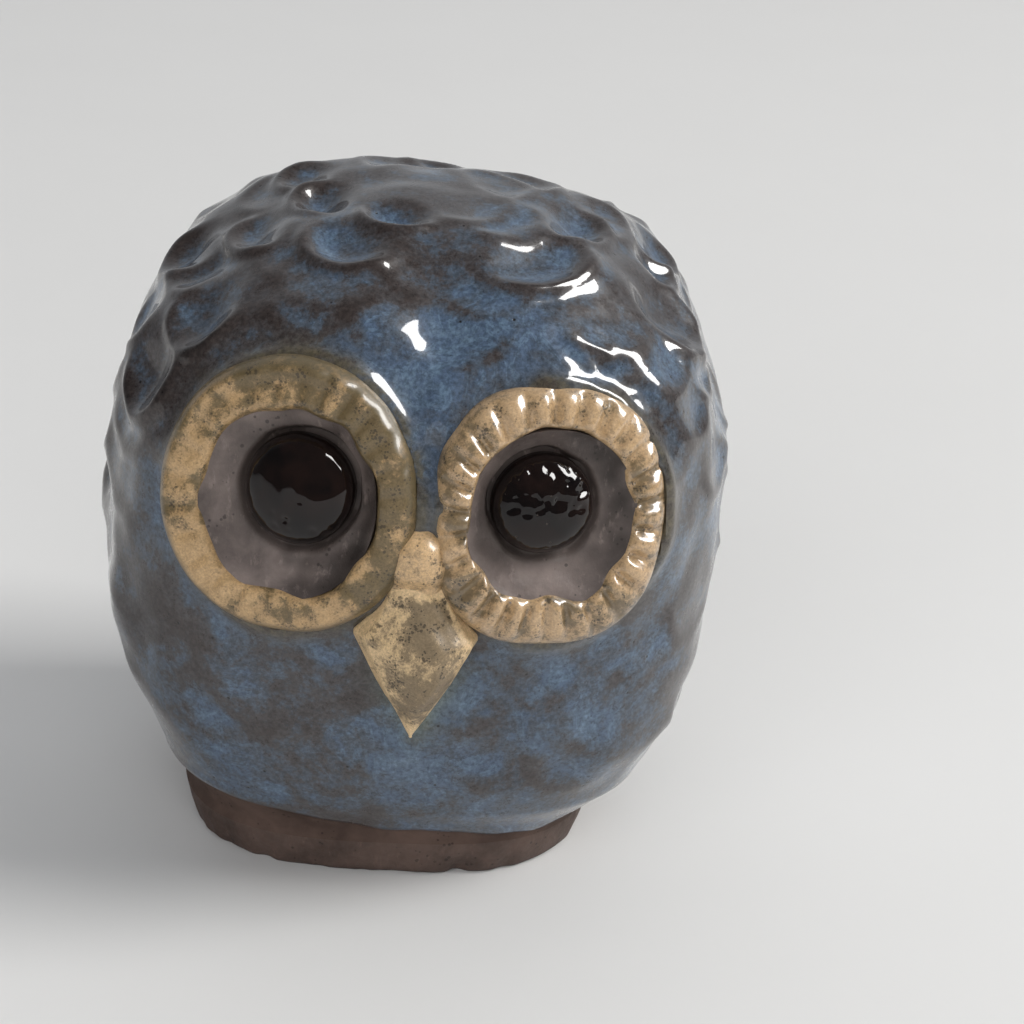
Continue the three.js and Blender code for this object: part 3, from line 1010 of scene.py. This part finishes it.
def bridge_piece():
    low, high = box_mm("nose_bridge")
    down = np.linspace(0, 1, BRIDGE_ROWS + 1)
    sweep = np.linspace(-1, 1, BRIDGE_SPAN + 1)
    rows = []
    for share in down:
        half = BRIDGE_TOP_HALF + (BRIDGE_FOOT_HALF - BRIDGE_TOP_HALF) * ease(share, 0.1, 0.85)
        middle = beak_middle + 0.4 - 0.7 * share
        sunk = (high[1] - low[1] - 1.0) * (1 - ease(share, 0.22, 0.66)) + 0.9 * ease(share, 0.8, 1.0)
        y = low[1] + 0.1 + sunk + 1.4 * np.abs(sweep) ** 3 - 0.25 * bell(share, 0.75, 0.2)
        z = high[2] + (low[2] - high[2]) * share - 0.3 * sweep**2 * (1 - share)
        rows.append(np.stack([middle + half * sweep, y + 0 * sweep, z + 0 * sweep], -1))
    face = np.concatenate(rows)
    face[:, 1] += 0.12 * lumps(face, 5, 95) + 0.1
    faces, edge = patch(BRIDGE_ROWS + 1, BRIDGE_SPAN + 1)
    places, faces, cap = close_behind(face, faces, edge, 1, high[1])
    rim = np.tile(np.abs(sweep) ** 3, BRIDGE_ROWS + 1)
    upper = np.repeat(1 - ease(down, 0.1, 0.45), BRIDGE_SPAN + 1)
    pooled_bridge = np.concatenate([np.maximum(0.6 * rim, upper), np.ones(len(edge))])
    masks = {"pooled": pooled_bridge, "edge": pooled_bridge * 0.8}
    return make_piece("thumbed_bridge", places, faces, masks, cap)


bridge = bridge_piece()

# %% [markdown]
# ## Shared finishes as node groups
# Three effects turn up in more than one finish. Fired clay and glaze are both cloudy at several scales at
# once, both carry dark iron specks, and every glaze has a faint ripple and pinholes where gas escaped.
# Each is a node group with named sockets, built once. The colours stay outside, so each finish mixes
# its own.

# %% Building node groups
COORD_SCALE = 1000.0


class Nodes:
    """Short calls for adding and joining nodes in one tree."""

    def __init__(self, tree):
        self.tree = tree

    def link(self, value, socket):
        self.tree.links.new(value, socket)

    def add(self, kind, inputs=None, **settings):
        node = self.tree.nodes.new(kind)
        for key, value in settings.items():
            setattr(node, key, value)
        for key, value in (inputs or {}).items():
            if isinstance(value, bpy.types.NodeSocket):
                self.link(value, node.inputs[key])
            else:
                node.inputs[key].default_value = value
        return node

    def math(self, operation, first, second=0.0, clamp=False):
        values = {0: first, 1: second}
        return self.add("ShaderNodeMath", values, operation=operation, use_clamp=clamp).outputs[0]

    def times(self, first, second, clamp=False):
        return self.math("MULTIPLY", first, second, clamp)

    def plus(self, first, second):
        return self.math("ADD", first, second)

    def minus(self, first, second):
        return self.math("SUBTRACT", first, second)

    def remap(self, value, low, high, new_low=0.0, new_high=1.0):
        ranges = {"Value": value, "From Min": low, "From Max": high, "To Min": new_low, "To Max": new_high}
        return self.add("ShaderNodeMapRange", ranges, interpolation_type="SMOOTHSTEP").outputs[0]

    def blend(self, share, first, second, mode="MIX"):
        node = self.add("ShaderNodeMix", data_type="RGBA", blend_type=mode)
        for socket, value in ((node.inputs[0], share), (node.inputs[6], first), (node.inputs[7], second)):
            if isinstance(value, bpy.types.NodeSocket):
                self.link(value, socket)
            else:
                socket.default_value = value
        return node.outputs[2]

    def ramp(self, value, stops):
        node = self.add("ShaderNodeValToRGB", {"Fac": value})
        node.color_ramp.interpolation = "EASE"
        elements = node.color_ramp.elements
        while len(elements) < len(stops):
            elements.new(0.5)
        for element, (place, colour) in zip(elements, stops):
            element.position = place
            element.color = (*colour, 1)
        return node.outputs["Color"]

    def mask(self, name):
        return self.add("ShaderNodeAttribute", attribute_name=name).outputs["Fac"]

    def noise(self, where, size_mm, detail=4.0, roughness=0.55, distortion=0.0):
        values = {"Vector": where, "Scale": COORD_SCALE / size_mm, "Detail": detail,
                  "Roughness": roughness, "Distortion": distortion}
        return self.add("ShaderNodeTexNoise", values).outputs["Fac"]


def new_group(name, inputs, outputs):
    """A node group with float inputs and their usual values, and float outputs."""
    tree = bpy.data.node_groups.new(name, "ShaderNodeTree")
    tree.interface.new_socket("Where", in_out="INPUT", socket_type="NodeSocketVector")
    for socket, usual in inputs.items():
        entry = tree.interface.new_socket(socket, in_out="INPUT", socket_type="NodeSocketFloat")
        entry.default_value = usual
    for socket in outputs:
        tree.interface.new_socket(socket, in_out="OUTPUT", socket_type="NodeSocketFloat")
    nodes = Nodes(tree)
    entry = nodes.add("NodeGroupInput")
    leave = nodes.add("NodeGroupOutput")
    return nodes, entry.outputs, leave.inputs


def scaled_noise(nodes, where, scale, factor, detail, roughness=0.55, distortion=0.0):
    """Noise whose scale is a group's input times a factor."""
    values = {"Vector": where, "Scale": nodes.times(scale, factor), "Detail": detail,
              "Roughness": roughness, "Distortion": distortion}
    return nodes.add("ShaderNodeTexNoise", values).outputs["Fac"]


# %% Cloudy mottling
def make_mottling():
    nodes, given, out = new_group("kiln mottling", {"Scale": 100.0, "Swirl": 1.0},
                                  ["Broad", "Fine", "Threads"])
    where, scale = given["Where"], given["Scale"]
    warp = nodes.add("ShaderNodeTexNoise", {"Vector": where, "Scale": scale, "Detail": 2.0})
    middle = {0: warp.outputs["Color"], 1: (0.5, 0.5, 0.5)}
    centred = nodes.add("ShaderNodeVectorMath", middle, operation="SUBTRACT")
    reach = nodes.math("DIVIDE", nodes.times(given["Swirl"], 0.9), scale)
    bend = nodes.add("ShaderNodeVectorMath", {0: centred.outputs[0], "Scale": reach}, operation="SCALE")
    bent = nodes.add("ShaderNodeVectorMath", {0: where, 1: bend.outputs[0]}, operation="ADD").outputs[0]
    broad = scaled_noise(nodes, bent, scale, 1.0, 6.0, 0.6)
    fine = scaled_noise(nodes, where, scale, 7.0, 8.0, 0.8)
    veins = scaled_noise(nodes, bent, scale, 2.3, 6.0, 0.6, 1.5)
    thread = nodes.math("ABSOLUTE", nodes.minus(veins, 0.5))
    nodes.link(nodes.remap(broad, 0.3, 0.7), out["Broad"])
    nodes.link(nodes.remap(fine, 0.3, 0.7), out["Fine"])
    nodes.link(nodes.remap(thread, 0.0, 0.05, 1.0, 0.0), out["Threads"])
    return nodes.tree


mottling = make_mottling()


# %% Iron specks and grit
def make_specks():
    nodes, given, out = new_group("iron specks", {"Scale": 900.0, "Amount": 0.3}, ["Specks", "Grit"])
    where, scale = given["Where"], given["Scale"]
    cells = nodes.add("ShaderNodeTexVoronoi", {"Vector": where, "Scale": scale}, feature="F1")
    size = scaled_noise(nodes, where, scale, 0.23, 3.0, 0.6)
    reach = nodes.times(nodes.remap(size, 0.42, 0.68, 0.0, 0.55), given["Amount"])
    inner = nodes.minus(reach, cells.outputs["Distance"])
    specks = nodes.remap(inner, -0.04, 0.05)
    grit = scaled_noise(nodes, where, scale, 1.4, 6.0, 0.7)
    nodes.link(specks, out["Specks"])
    nodes.link(grit, out["Grit"])
    return nodes.tree


specks = make_specks()


# %% Ripple and pinholes of a melted glaze
def make_melt():
    nodes, given, out = new_group("melted surface", {"Scale": 500.0, "Pinholes": 0.5}, ["Height", "Holes"])
    where, scale = given["Where"], given["Scale"]
    ripple = scaled_noise(nodes, where, scale, 0.55, 3.0, 0.5)
    skin_grain = scaled_noise(nodes, where, scale, 3.2, 2.0, 0.5)
    cells = nodes.add("ShaderNodeTexVoronoi", {"Vector": where, "Scale": nodes.times(scale, 0.8)})
    chance = nodes.add("ShaderNodeSeparateColor", {"Color": cells.outputs["Color"]}).outputs["Red"]
    few = nodes.math("LESS_THAN", chance, given["Pinholes"])
    hole = nodes.times(nodes.remap(cells.outputs["Distance"], 0.05, 0.13, 1.0, 0.0), few)
    height = nodes.plus(ripple, nodes.times(skin_grain, 0.22))
    height = nodes.minus(height, nodes.times(hole, 0.8))
    nodes.link(height, out["Height"])
    nodes.link(hole, out["Holes"])
    return nodes.tree


melt = make_melt()
print("node groups:", [group.name for group in bpy.data.node_groups])


# %% Starting a finish
def start_finish(name):
    """A material's short calls, its Principled shader and the place on the owl as a socket."""
    material = bpy.data.materials.new(name)
    material.use_nodes = True
    nodes = Nodes(material.node_tree)
    shader = material.node_tree.nodes["Principled BSDF"]
    where = nodes.add("ShaderNodeTexCoord").outputs["Object"]
    return material, nodes, shader, where


def place_group(nodes, group, where, **values):
    node = nodes.add("ShaderNodeGroup", node_tree=group)
    nodes.link(where, node.inputs["Where"])
    for socket, value in values.items():
        node.inputs[socket].default_value = value
    return node.outputs


def finish_bump(nodes, shader, height, strength, distance_mm):
    values = {"Height": height, "Strength": strength, "Distance": distance_mm * MM}
    bump = nodes.add("ShaderNodeBump", values)
    nodes.link(bump.outputs["Normal"], shader.inputs["Normal"])


# %% [markdown]
# ## The blue glaze
# This is a breaking glaze: rutile and cobalt over a dark body. Where it is thin, over ridges and rims, the
# iron of the clay burns through in brown. Where it gathers it turns slate, then milky blue, with paler
# threads where it ran. So one number, its thickness, drives the colour: the mask of the hollows plus the
# mottling. Low on the owl's right, away from the lamps, that mask is also lowered as painted shade, so the
# glaze there shows browner and darker. Pinholes and specks are nearly black. Below the roll the same mesh
# shows bare clay.

# %% Blue glaze
GLAZE_STOPS = [
    (0.0, (0.020, 0.016, 0.015)),
    (0.30, (0.036, 0.028, 0.026)),
    (0.44, (0.050, 0.045, 0.046)),
    (0.54, (0.055, 0.067, 0.086)),
    (0.70, (0.062, 0.092, 0.142)),
    (1.0, (0.120, 0.175, 0.235)),
]


def clay_colour(nodes, where, dark, light):
    cloud = place_group(nodes, mottling, where, Scale=160.0, Swirl=0.6)
    grains = place_group(nodes, specks, where, Scale=1100.0, Amount=0.5)
    colour = nodes.blend(cloud["Broad"], (*dark, 1), (*light, 1))
    colour = nodes.blend(nodes.times(grains["Specks"], 0.6), colour, (0.012, 0.010, 0.009, 1))
    return colour, grains["Grit"]


def blue_glaze():
    material, nodes, shader, where = start_finish("breaking blue glaze")
    cloud = place_group(nodes, mottling, where, Scale=70.0, Swirl=1.5)
    surface = place_group(nodes, melt, where, Scale=620.0, Pinholes=0.2)
    dots = place_group(nodes, specks, where, Scale=1300.0, Amount=0.25)
    # On the body this mask also carries painted shade, lowered low on the owl's right.
    pooled_mask = nodes.mask("pooled")
    thick = nodes.times(pooled_mask, 0.40)
    thick = nodes.plus(thick, nodes.times(cloud["Broad"], 0.38))
    thick = nodes.plus(thick, nodes.times(cloud["Fine"], 0.22))
    thick = nodes.minus(thick, 0.015)
    colour = nodes.ramp(thick, GLAZE_STOPS)
    milky = nodes.times(cloud["Threads"], nodes.remap(thick, 0.45, 0.75, 0.0, 0.35))
    colour = nodes.blend(milky, colour, (0.13, 0.20, 0.27, 1))
    stained = nodes.times(nodes.mask("collar"), nodes.remap(cloud["Fine"], 0.2, 0.8, 0.3, 0.85))
    colour = nodes.blend(stained, colour, (0.082, 0.068, 0.040, 1))
    pale_pool = nodes.times(nodes.mask("fringe"), 0.7)
    colour = nodes.blend(pale_pool, colour, (0.17, 0.21, 0.19, 1))
    grain = nodes.remap(dots["Grit"], 0.3, 0.7, 0.62, 1.38)
    colour = nodes.blend(1.0, colour, grain, "MULTIPLY")
    dark = nodes.math("MAXIMUM", nodes.times(dots["Specks"], 0.6), surface["Holes"])
    colour = nodes.blend(dark, colour, (0.009, 0.008, 0.008, 1))
    clay, grit = clay_colour(nodes, where, (0.056, 0.037, 0.030), (0.108, 0.072, 0.058))
    ragged = nodes.times(nodes.minus(cloud["Fine"], 0.5), 0.3)
    bare_mask = nodes.remap(nodes.plus(nodes.mask("bare"), ragged), 0.4, 0.6)
    colour = nodes.blend(bare_mask, colour, clay)
    nodes.link(colour, shader.inputs["Base Color"])
    gloss = nodes.remap(cloud["Fine"], 0.0, 1.0, 0.26, 0.40)
    rough = nodes.add("ShaderNodeMix", {0: bare_mask, 2: gloss, 3: 0.8}).outputs[0]
    nodes.link(rough, shader.inputs["Roughness"])
    gritty = nodes.times(nodes.times(grit, bare_mask), 1.2)
    height = nodes.plus(surface["Height"], gritty)
    finish_bump(nodes, shader, height, 0.5, 0.12)
    covered = nodes.times(nodes.minus(1.0, bare_mask), 0.85)
    nodes.link(covered, shader.inputs["Coat Weight"])
    shader.inputs["Coat Roughness"].default_value = 0.05
    shader.inputs["IOR"].default_value = 1.25
    return material


# %% [markdown]
# ## Ochre, bare clay and the black bead
# The rings, bridge and beak wear a honey-coloured matt-satin glaze that lets olive and near-black specks
# through, densest where it is thin. The bare dishes fire to a purplish brown and keep the marks of the
# scraping tool. The pupils have a tenmoku glaze, black and mirror-smooth.

# %% Ochre glaze
def ochre_glaze(name, light, warm, olive, olive_share, gloss, coat):
    material, nodes, shader, where = start_finish(name)
    cloud = place_group(nodes, mottling, where, Scale=150.0, Swirl=1.2)
    dots = place_group(nodes, specks, where, Scale=2700.0, Amount=0.95)
    surface = place_group(nodes, melt, where, Scale=700.0, Pinholes=0.12)
    colour = nodes.blend(cloud["Fine"], (*warm, 1), (*light, 1))
    stain = nodes.plus(nodes.times(cloud["Broad"], 0.6), nodes.times(cloud["Fine"], 0.5))
    stain = nodes.plus(stain, nodes.times(nodes.mask("pooled"), 0.2))
    stained = nodes.remap(stain, 0.95 - olive_share, 1.35 - olive_share)
    colour = nodes.blend(nodes.times(stained, 0.85), colour, (*olive, 1))
    grain = nodes.remap(dots["Grit"], 0.3, 0.7, 0.76, 1.22)
    colour = nodes.blend(1.0, colour, grain, "MULTIPLY")
    rim = nodes.times(nodes.mask("edge"), 0.65)
    colour = nodes.blend(rim, colour, (*olive, 1))
    speckle = nodes.times(dots["Specks"], nodes.remap(stain, 0.2, 0.8, 0.25, 0.8))
    colour = nodes.blend(speckle, colour, (0.045, 0.034, 0.022, 1))
    colour = nodes.blend(nodes.times(surface["Holes"], 0.8), colour, (0.03, 0.02, 0.015, 1))
    nodes.link(colour, shader.inputs["Base Color"])
    nodes.link(nodes.remap(cloud["Fine"], 0, 1, gloss, gloss + 0.14), shader.inputs["Roughness"])
    height = nodes.plus(surface["Height"], nodes.times(dots["Grit"], 0.25))
    finish_bump(nodes, shader, height, 0.45, 0.12)
    shader.inputs["Coat Weight"].default_value = coat
    shader.inputs["Coat Roughness"].default_value = 0.06
    return material


# %% Bare clay
def bare_clay(name, dark, light, rough_low, rough_high, streak):
    material, nodes, shader, where = start_finish(name)
    colour, grit = clay_colour(nodes, where, dark, light)
    # Darkens where dark glaze seeped round the pupil and, as painted shadow, on the side of the dish away
    # from the lamps.
    seep_and_shadow = nodes.times(nodes.mask("seep_and_shadow"), 0.8, clamp=True)
    colour = nodes.blend(seep_and_shadow, colour, (0.014, 0.010, 0.008, 1))
    squeezed = nodes.add("ShaderNodeMapping", {"Vector": where, "Scale": streak}).outputs[0]
    scrapes = nodes.noise(squeezed, 1.1, 5.0, 0.7)
    pale = nodes.times(nodes.remap(scrapes, 0.55, 0.75), 0.35)
    colour = nodes.blend(pale, colour, (*[min(1, c * 1.9) for c in light], 1))
    nodes.link(colour, shader.inputs["Base Color"])
    nodes.link(nodes.remap(grit, 0.3, 0.7, rough_low, rough_high), shader.inputs["Roughness"])
    height = nodes.plus(grit, nodes.times(scrapes, 0.8))
    finish_bump(nodes, shader, height, 0.6, 0.12)
    return material


# %% Black bead glaze
def bead_glaze(name, holes_scale, holes):
    material, nodes, shader, where = start_finish(name)
    cloud = place_group(nodes, mottling, where, Scale=260.0, Swirl=0.8)
    surface = place_group(nodes, melt, where, Scale=holes_scale, Pinholes=holes)
    colour = nodes.blend(cloud["Broad"], (0.004, 0.003, 0.003, 1), (0.011, 0.006, 0.005, 1))
    colour = nodes.blend(nodes.times(surface["Holes"], 0.5), colour, (0.10, 0.085, 0.07, 1))
    nodes.link(colour, shader.inputs["Base Color"])
    nodes.link(nodes.remap(cloud["Fine"], 0, 1, 0.03, 0.08), shader.inputs["Roughness"])
    finish_bump(nodes, shader, surface["Height"], 0.16 + 0.5 * holes, 0.06)
    shader.inputs["IOR"].default_value = 1.42
    return material


# %% Pale table
def table_finish():
    material, nodes, shader, where = start_finish("pale table")
    tone = nodes.noise(where, 40, 3.0)
    colour = nodes.blend(tone, (0.69, 0.685, 0.675, 1), (0.71, 0.705, 0.695, 1))
    nodes.link(colour, shader.inputs["Base Color"])
    shader.inputs["Roughness"].default_value = 0.75
    return material


# %% [markdown]
# ## Putting it together
# Every piece takes its finish, says which imported piece it stands for, and rides on the one rigid body
# that the fired owl is.

# %% Dress and attach
glaze = blue_glaze()
ochres = {
    "left ring": ochre_glaze("left ring ochre", (0.54, 0.36, 0.185), (0.38, 0.245, 0.115),
                             (0.082, 0.063, 0.029), 0.57, 0.34, 0.3),
    "right ring": ochre_glaze("right ring ochre", (0.53, 0.365, 0.21), (0.41, 0.27, 0.14),
                              (0.11, 0.08, 0.041), 0.48, 0.28, 0.9),
    "beak": ochre_glaze("beak ochre", (0.72, 0.52, 0.30), (0.54, 0.39, 0.21),
                        (0.125, 0.093, 0.056), 0.50, 0.42, 0.1),
    "bridge": ochre_glaze("bridge ochre", (0.64, 0.44, 0.25), (0.53, 0.35, 0.175),
                          (0.15, 0.105, 0.055), 0.40, 0.3, 0.3),
}
dish_clay = bare_clay("dish clay", (0.084, 0.066, 0.060), (0.205, 0.163, 0.146),
                      0.36, 0.56, (1.0, 1.0, 0.35))
foot_clay = bare_clay("foot clay", (0.056, 0.037, 0.030), (0.108, 0.072, 0.058),
                      0.7, 0.9, (1.0, 1.0, 0.3))
beads = {
    "left": bead_glaze("left bead glaze", 650.0, 0.16),
    "right": bead_glaze("right bead glaze", 1000.0, 0.5),
}
floor.data.materials.append(table_finish())

DRESS = [
    (body, "body_shell", "blue_glaze", glaze),
    (foot, "base_slab", "bare_clay", foot_clay),
    (beak, "beak", "ochre_glaze", ochres["beak"]),
    (bridge, "nose_bridge", "ochre_glaze", ochres["bridge"]),
]
for side in EYES:
    DRESS.append((rings[side], f"{side}_eye_ring", "ochre_glaze", ochres[f"{side} ring"]))
    DRESS.append((cups[side], f"{side}_eye_cup", "bare_clay", dish_clay))
    DRESS.append((pupils[side], f"{side}_pupil", "pupil_glaze", beads[side]))

for piece, node, slot, finish in DRESS:
    piece.data.materials.append(finish)
    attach(piece, "root")
    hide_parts(node)
    print(piece.name, "stands for", node)

# %% Last update
bpy.context.view_layer.update()
